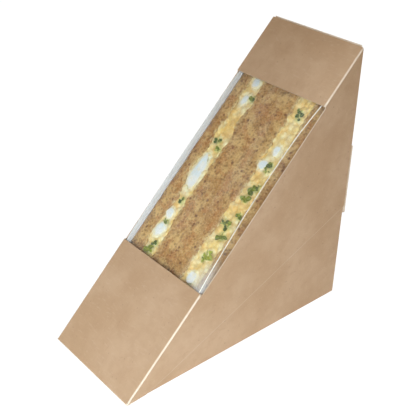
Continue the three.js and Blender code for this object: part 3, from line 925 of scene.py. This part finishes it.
def add_cap(points, faces, values, first, count, is_left, sides):
    rim = [Vector((points[first + index][1], points[first + index][2])) for index in range(count)]
    low = [min(point[axis] for point in rim) for axis in (0, 1)]
    high = [max(point[axis] for point in rim) for axis in (0, 1)]
    inner = []
    for row in range(int((high[1] - low[1]) / CAP_CELL)):
        for column in range(int((high[0] - low[0]) / CAP_CELL)):
            spot = Vector((low[0] + (column + 0.5) * CAP_CELL, low[1] + (row + 0.5) * CAP_CELL))
            along, out = along_and_out(spot.x, spot.y)
            if -out - CUT_FACE > CAP_CELL and min((spot - edge).length for edge in rim[::4]) > CAP_CELL:
                inner.append(spot)
    edges = [(index, (index + 1) % count) for index in range(count)]
    spots, _, triangles, origins, _, _ = delaunay_2d_cdt(rim + inner, edges, [], 1, 1e-6)
    index_of = {}
    for order, spot in enumerate(spots):
        source = [origin for origin in origins[order] if origin < count]
        if source:
            index_of[order] = first + source[0]
            continue
        along, out = along_and_out(spot.x, spot.y)
        left, right = sides(along, -out - CUT_FACE)
        x = left if is_left else right
        x += (CAP_SINK if is_left else -CAP_SINK) * (1 + wave((x, spot.x, spot.y), CAP_WAVE))
        index_of[order] = len(points)
        points.append((x, spot.x, spot.y))
        for key in values:
            values[key].append(0.0)
    for triangle in triangles:
        corners = [index_of[corner] for corner in triangle]
        faces.append(tuple(corners if not is_left else reversed(corners)))


SEAM_REACH = 4
CRUMB_DEPTH = 2
CRUST_START = 1.2
CRUMB_UNDULATION = 0.35
CRUMB_SIZE = 7
CRUMB_RIPPLE = 0.16
CRUMB_RIPPLE_SIZE = 1.6
CRUST_WAVE = 0.15
CRUST_WAVE_SIZE = 3
SMEAR_REACH = 1.9
PORE_SIZE = 1.55
PORE_DEPTH = 0.6
FINE_PORE_SIZE = 0.8
FINE_PORE_DEPTH = 0.22
CRUMB_SINK = 0.05
PORE_PATCH = 4.2
PORE_SHIFT = 7.7


def pore_depth(point, size):
    distance = noise.voronoi(Vector(point) / size)[0][0]
    return max(0.0, 1 - 2 * distance) * smooth_step(-0.15, 0.35, wave(point, PORE_PATCH, PORE_SHIFT))


# Distance to the side of a slice that lies against a filling
def to_filling(x, left, right):
    is_first = left < -SIDE_WALL + 1
    is_third = SEAM_REACH < right < SIDE_WALL - 1
    return right - x if is_first or is_third else x - left


# How far the surface stands out of the outline, and its marks: painted shade in the pores, smeared filling
# and crust
def bread_surface(x, along, out, is_cut, left, right):
    point = on_slope(x, along, out)
    depth = max(-out - CUT_FACE, 0)
    crumb = 1.0 if is_cut else math.exp(-depth / CRUMB_DEPTH)
    big = pore_depth(point, PORE_SIZE)
    fine = pore_depth(point, FINE_PORE_SIZE)
    rise = CRUMB_UNDULATION * wave(point, CRUMB_SIZE) + CRUMB_RIPPLE * wave(point, CRUMB_RIPPLE_SIZE)
    rise -= PORE_DEPTH * big + FINE_PORE_DEPTH * fine + CRUMB_SINK
    crust_rise = -CRUST_WAVE * (1 + wave(point, CRUST_WAVE_SIZE))
    touches = 1.0 - smooth_step(0.1, SMEAR_REACH, to_filling(x, left, right))
    marks = {
        # Painted shade in the sunken pores
        "pore": crumb * min(1.0, 0.9 * big + 0.7 * fine),
        "smear": crumb * touches,
        "crust": 1 - crumb if depth > CRUST_START else 0.0,
    }
    return crumb * rise + (1 - crumb) * crust_rise, marks


LUMP_SIZE = 2.6
LUMP_RISE = 0.55
LUMP_REACH = 0.62
LUMP_MARK = 0.75
FILLING_WAVE = 0.3
FILLING_WAVE_SIZE = 6
FILLING_SHIFT = 3.1
FILLING_RIPPLE = 0.1
FILLING_RIPPLE_SIZE = 1.2
POCKET_ROOM = 0.5
POCKET_FLOOR = 0.2
CHOPPED_REACH = 1.5
STAIN_REACH = 2.0
STAIN = 0.65


# A place on the cut face in an egg white's own axes, with its half width and half length
def in_egg_axes(x, along, egg):
    _, egg_x, egg_along, length, width, turn = egg
    across = (x - egg_x) * math.cos(turn) + (along - egg_along) * math.sin(turn)
    up = (along - egg_along) * math.cos(turn) - (x - egg_x) * math.sin(turn)
    return across, up, width / 2, length / 2


def pocket(x, along):
    deepest = 0.0
    for egg in EGG_WHITES:
        across, up, half_width, half_length = in_egg_axes(x, along, egg)
        ratio = (across / (half_width + POCKET_MARGIN)) ** 2 + (up / (half_length + POCKET_MARGIN)) ** 2
        if ratio < 1:
            deepest = max(deepest, (EGG_WHITE_DEPTH + POCKET_ROOM) * math.sqrt(1 - ratio) + POCKET_FLOOR)
    return deepest


# How near a place on the cut face is to the nearest egg white, from 1 at its rim to 0
def near_white(x, along):
    nearest = 0.0
    for egg in EGG_WHITES:
        across, up, half_width, half_length = in_egg_axes(x, along, egg)
        beyond = (math.hypot(across / half_width, up / half_length) - 1) * min(half_width, half_length)
        nearest = max(nearest, 1 - smooth_step(0.1, CHOPPED_REACH, beyond))
    return nearest


def near_cress(x, along):
    gaps = [math.hypot(x - sprig[0], along - sprig[1]) - 0.35 * sprig[2] for sprig in CRESS]
    return 1 - smooth_step(0.3, STAIN_REACH, min(gaps))


def filling_surface(x, along, out, is_cut, left, right):
    point = on_slope(x, along, out)
    crumb = 1.0 if is_cut else math.exp(-max(-out - CUT_FACE, 0) / CRUMB_DEPTH)
    distance = noise.voronoi(Vector(point) / LUMP_SIZE)[0][0]
    dome = math.sqrt(max(0.0, 1 - min(distance / LUMP_REACH, 1) ** 2))
    rise = LUMP_RISE * (dome - LUMP_REACH)
    rise += FILLING_WAVE * wave(point, FILLING_WAVE_SIZE, FILLING_SHIFT)
    rise += FILLING_RIPPLE * wave(point, FILLING_RIPPLE_SIZE)
    marks = {
        # Painted shade in the hollows between lumps
        "pore": max(0.0, LUMP_MARK - dome),
        "chopped": near_white(x, along) if is_cut else 0.0,
        "stain": STAIN * near_cress(x, along) if is_cut else 0.0,
    }
    return crumb * rise - (pocket(x, along) if is_cut else 0.0), marks


FULL_CELL = 0.4
BREAD_LEG_CELL = 1.2
FILLING_LEG_CELL = 1.5
FILLING_INSET = 2.0


def add_sandwich():
    bread = bread_material()
    mayo = filling_material()
    cell = FULL_CELL
    # Crumb marks: painted pore shade, smeared filling and crust
    marks = ("pore", "smear", "crust")
    for name in ("bread_slice_1", "bread_slice_2", "bread_slice_3", "bread_slice_4"):
        soft_layer(name, 0.0, cell, BREAD_LEG_CELL, bread_surface, marks, bread)
    # Filling marks: painted shade between lumps, chopped white and cress stain
    marks = ("pore", "chopped", "stain")
    for name in ("egg_filling_1", "egg_filling_2"):
        soft_layer(
            name, FILLING_INSET, cell, FILLING_LEG_CELL,
            filling_surface, marks, mayo,
        )


RIPPLE = 0.3
RIPPLE_SIZE = 0.9
FINE_RIPPLE = 0.07
FINE_RIPPLE_SIZE = 0.35
SQUARENESS = 2.4
EGG_FLATNESS = 0.8
EGG_WHITE_RISE = 0.3
EGG_TOP_WAVE = 0.1
EGG_TOP_WAVE_SIZE = 0.5
EGG_SUBDIVISIONS = 5
RIM_RANGE = (0.2, 0.75)


# Egg white: a rounded lump below the knife's cut, nearly flat on top
def egg_white_point(spot, order, egg):
    _, x, along, length, width, turn = egg
    ripple = 1 + RIPPLE * wave(spot, RIPPLE_SIZE, order * 3.7)
    ripple += FINE_RIPPLE * wave(spot, FINE_RIPPLE_SIZE, order)
    heading = math.atan2(spot.y, spot.x)
    corners = abs(math.cos(heading)) ** SQUARENESS + abs(math.sin(heading)) ** SQUARENESS
    reach = corners ** (-1 / SQUARENESS) * ripple
    flat = abs(spot.z) ** EGG_FLATNESS
    height = EGG_WHITE_RISE * flat if spot.z > 0 else -EGG_WHITE_DEPTH * flat
    height += EGG_TOP_WAVE * wave(spot, EGG_TOP_WAVE_SIZE, order + 5)
    place = turned((x, along), turn, spot.x * reach * width / 2, spot.y * reach * length / 2)
    return on_slope(*place, height - CUT_FACE)


def add_egg_whites():
    material = egg_white_material()
    for order, egg in enumerate(EGG_WHITES):
        work = bmesh.new()
        bmesh.ops.create_icosphere(work, subdivisions=EGG_SUBDIVISIONS, radius=1)
        faces = [[vertex.index for vertex in face.verts] for face in work.faces]
        points = [egg_white_point(vertex.co, order, egg) for vertex in work.verts]
        rims = [1 - smooth_step(*RIM_RANGE, abs(vertex.co.z)) for vertex in work.verts]
        work.free()
        name = egg[0]
        piece = make_object(name + "_soft", points, faces, material)
        add_attribute(piece, "rim", rims)
        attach(piece, "pack")
        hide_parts(name)


# Cress: a few rounded leaves on a thin stem, lying on the cut face
LEAF_ROWS = 7
LEAF_COLUMNS = 9
LEAF_THICKNESS = 0.14
LEAF_WIDTH = 0.42
LEAF_MIN_WIDTH = 0.06
LEAF_ARCH = 0.0875
CRESS_LIFT = 0.22
STEM_STEPS = 6
STEM_SIDES = 6
STEM_RADIUS = 0.22
STEM_BEND = 0.35
STEM_LENGTH = 0.9
STEM_TURN = 2.4
STEM_LIFT = 0.2
STEM_PALENESS = 0.4
STEM_VEIN = 0.7
CRESS_SEED = 11
SPIN_RANGE = (-0.9, 0.9)
GROWTH_RANGE = (0.4, 1.1)
SLIM_RANGE = (0.5, 1.1)
CUP_RANGE = (0.1, 0.9)
TONE_RANGE = (-0.45, 0.4)
ACROSS_RANGE = (-0.3, 0.3)
UP_RANGE = (-0.4, 0.4)


def leaf_point(row, column, size, slim, cup):
    share = row / (LEAF_ROWS - 1)
    side = 2 * column / (LEAF_COLUMNS - 1) - 1
    half_width = LEAF_WIDTH * slim * size * math.sin(math.pi * share ** 1.25) ** 0.6 + LEAF_MIN_WIDTH
    height = cup * (abs(side) ** 1.6) * half_width + LEAF_ARCH * size * math.sin(share * 2.2)
    return side * half_width, share * size, height


def leaf(sprig, centre, turn, size, slim, cup, tone):
    first = len(sprig["points"])
    for level in (0.0, -LEAF_THICKNESS):
        for row in range(LEAF_ROWS):
            for column in range(LEAF_COLUMNS):
                across, up, height = leaf_point(row, column, size, slim, cup)
                place = turned(centre, turn, across, up)
                sprig["points"].append(on_slope(*place, -CUT_FACE + CRESS_LIFT + height + level))
                sprig["tone"].append(tone)
                sprig["vein"].append(1.0 if column == LEAF_COLUMNS // 2 else 0.0)
    sprig["faces"] += sheet_faces(first, LEAF_ROWS, LEAF_COLUMNS)


def stem(sprig, centre, turn, length, tone):
    first = len(sprig["points"])
    for step in range(STEM_STEPS + 1):
        share = step / STEM_STEPS
        for spoke in range(STEM_SIDES):
            angle = 2 * math.pi * spoke / STEM_SIDES
            across = STEM_RADIUS * math.cos(angle) + STEM_BEND * math.sin(share * 2.4)
            place = turned(centre, turn, across, -share * length)
            height = -CUT_FACE + STEM_LIFT * (1 - share) + STEM_RADIUS * math.sin(angle)
            sprig["points"].append(on_slope(*place, height))
            sprig["tone"].append(min(1.0, tone + STEM_PALENESS))
            sprig["vein"].append(STEM_VEIN)
    sprig["faces"] += tube_faces(first, STEM_STEPS + 1, STEM_SIDES)
    last = first + STEM_STEPS * STEM_SIDES
    sprig["faces"].append(tuple(first + spoke for spoke in reversed(range(STEM_SIDES))))
    sprig["faces"].append(tuple(last + spoke for spoke in range(STEM_SIDES)))


def add_cress():
    material = cress_material()
    generator = np.random.default_rng(CRESS_SEED)
    for order, (x, along, size, count, turn, tone) in enumerate(CRESS):
        sprig = {"points": [], "faces": [], "tone": [], "vein": []}
        leaves = count + 2
        for number in range(leaves):
            spin = turn + 2 * math.pi * number / leaves + generator.uniform(*SPIN_RANGE)
            grown = size * generator.uniform(*GROWTH_RANGE)
            slim = generator.uniform(*SLIM_RANGE)
            cup = generator.uniform(*CUP_RANGE)
            shade = min(max(tone + generator.uniform(*TONE_RANGE), 0), 1)
            root_x = x + size * generator.uniform(*ACROSS_RANGE)
            root_along = along + size * generator.uniform(*UP_RANGE)
            leaf(sprig, (root_x, root_along), spin, grown, slim, cup, shade)
        stem(sprig, (x, along), turn + STEM_TURN, size * STEM_LENGTH, tone)
        piece = make_object(f"cress_{order + 1}", sprig["points"], sprig["faces"], material)
        for name in ("tone", "vein"):
            add_attribute(piece, name, sprig[name])
        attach(piece, "pack")


# Film: flat behind the front panel, its left fold in the crease, its right fold bowed in
FILM_THICKNESS = 0.12
FILM_WALL = 25.6
FILM_OUT = -0.8
FILM_WING = 8
FILM_MARGIN = 8
FILM_FOLD_RADIUS = 0.55
FILM_STATIONS = 90
FILM_RIPPLE = 0.1
FILM_RIPPLE_SIZE = 16
FREE_X = 25
LEFT_FOLD = 0.3
LEFT_FOLD_RADIUS = 0.2
# Strength of the painted highlight at the left fold's corners
LEFT_FOLD_HIGHLIGHT = 0.35
LEFT_TUCK = 0.7
BULGE_POWER = 0.4
FOLD_STEPS = 6
# Opacity of the painted highlight along the folds
FOLD_HIGHLIGHT = 0.66
LEFT_HAZE = 0.34
WING_HAZE = 0.3
LOW_RIGHT_HAZE = 0.3
LEFT_HAZE_RANGE = (-23.2, -22.4)
WING_X = -25.2
LOW_RIGHT_X = 19
LOW_SHARE = 0.2
RIGHT_FOLD = [(-0.09, 0.7), (0.0, 0.8), (0.05, 1.3), (0.1, 1.7), (0.25, 2.5), (0.4, 3.2), (0.6, 3.6),
              (0.75, 3.4), (0.85, 3.0), (0.95, 2.0), (1.0, 1.4), (1.09, 0.8)]
LEFT_BULGE = 0.65


def film_path(share):
    right = curve_at(RIGHT_FOLD, share)
    bulge = LEFT_BULGE * math.sin(math.pi * share) ** BULGE_POWER if 0 < share < 1 else 0.0
    flats = [1.6, 2.5, 3.1, 5.0, 13.6, 25.6, 37.6, 43.6]
    corners = [
        (-FILM_WALL, -FILM_WING, 0),
        (-FILM_WALL, FILM_OUT - LEFT_FOLD - LEFT_TUCK, 0),
        (-FILM_WALL - bulge, FILM_OUT - LEFT_FOLD + bulge / 2, LEFT_FOLD_RADIUS),
        (-FILM_WALL - bulge + LEFT_FOLD, FILM_OUT + bulge * 0.6, LEFT_FOLD_RADIUS),
    ]
    corners += [(-FILM_WALL + flat, FILM_OUT, 0) for flat in flats]
    fold = len(corners)
    corners += [
        (FILM_WALL - right, FILM_OUT, FILM_FOLD_RADIUS),
        (FILM_WALL, FILM_OUT - right, FILM_FOLD_RADIUS),
        (FILM_WALL, -FILM_WING, 0),
    ]
    spots = [Vector(corner[:2]) for corner in corners]
    path = [spots[0]]
    marks = [0.0]
    for index in range(1, len(corners) - 1):
        radius = corners[index][2]
        bend = rounded_corner(*spots[index - 1:index + 2], radius, FOLD_STEPS) if radius else [spots[index]]
        # Painted highlight: full on the right fold, weaker on the left fold's corners
        mark = 1.0 if index == fold else LEFT_FOLD_HIGHLIGHT
        path += bend
        marks += [0.0] + [mark] * (len(bend) - 2) + [0.0] if radius else [0.0]
    return path + [spots[-1]], marks + [0.0]


# Painted highlight where the film is folded, and haze at the left edge of the window and low at the right
def film_haze_and_highlight(x, share, mark):
    is_seen = 0 < share < 1
    haze_and_highlight = FOLD_HIGHLIGHT * mark
    if is_seen:
        haze_and_highlight += LEFT_HAZE * (1 - smooth_step(*LEFT_HAZE_RANGE, x))
    if is_seen and x < WING_X:
        haze_and_highlight += WING_HAZE
    if x > LOW_RIGHT_X:
        haze_and_highlight += LOW_RIGHT_HAZE * (1 - smooth_step(0.0, LOW_SHARE, share))
    return haze_and_highlight


def add_film():
    start = WINDOW_START - FILM_MARGIN
    end = WINDOW_END + FILM_MARGIN
    points = []
    fold_highlights = []
    haze_and_highlight_values = []
    for face in (1, -1):
        for station in range(FILM_STATIONS + 1):
            along = start + (end - start) * station / FILM_STATIONS
            share = (along - WINDOW_START) / (WINDOW_END - WINDOW_START)
            path, marks = film_path(share)
            count = len(path)
            for index, spot in enumerate(path):
                step = (path[min(index + 1, count - 1)] - path[max(index - 1, 0)]).normalized()
                side = Vector((-step.y, step.x)) * FILM_THICKNESS / 2 * face
                is_free = 0 < share < 1 and abs(spot.x) < FREE_X
                ripple = FILM_RIPPLE * wave((spot.x, along, 0), FILM_RIPPLE_SIZE) if is_free else 0.0
                points.append(on_slope(spot.x + side.x, along, spot.y + side.y + ripple))
                # Painted fold highlight, and opacity from that highlight and the haze
                fold_highlights.append(marks[index])
                haze_and_highlight_values.append(film_haze_and_highlight(spot.x, share, marks[index]))
    faces = sheet_faces(0, FILM_STATIONS + 1, count)
    piece = make_object("film_sheet", points, faces, film_material())
    add_attribute(piece, "fold", fold_highlights)
    add_attribute(piece, "haze_and_highlight", haze_and_highlight_values)
    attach(piece, "pack")
    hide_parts("window_film")


bpy.context.scene.view_settings.view_transform = "Standard"
add_camera()
add_floor()
add_world()
add_lamps()
add_board()
add_sandwich()
add_egg_whites()
add_cress()
add_film()
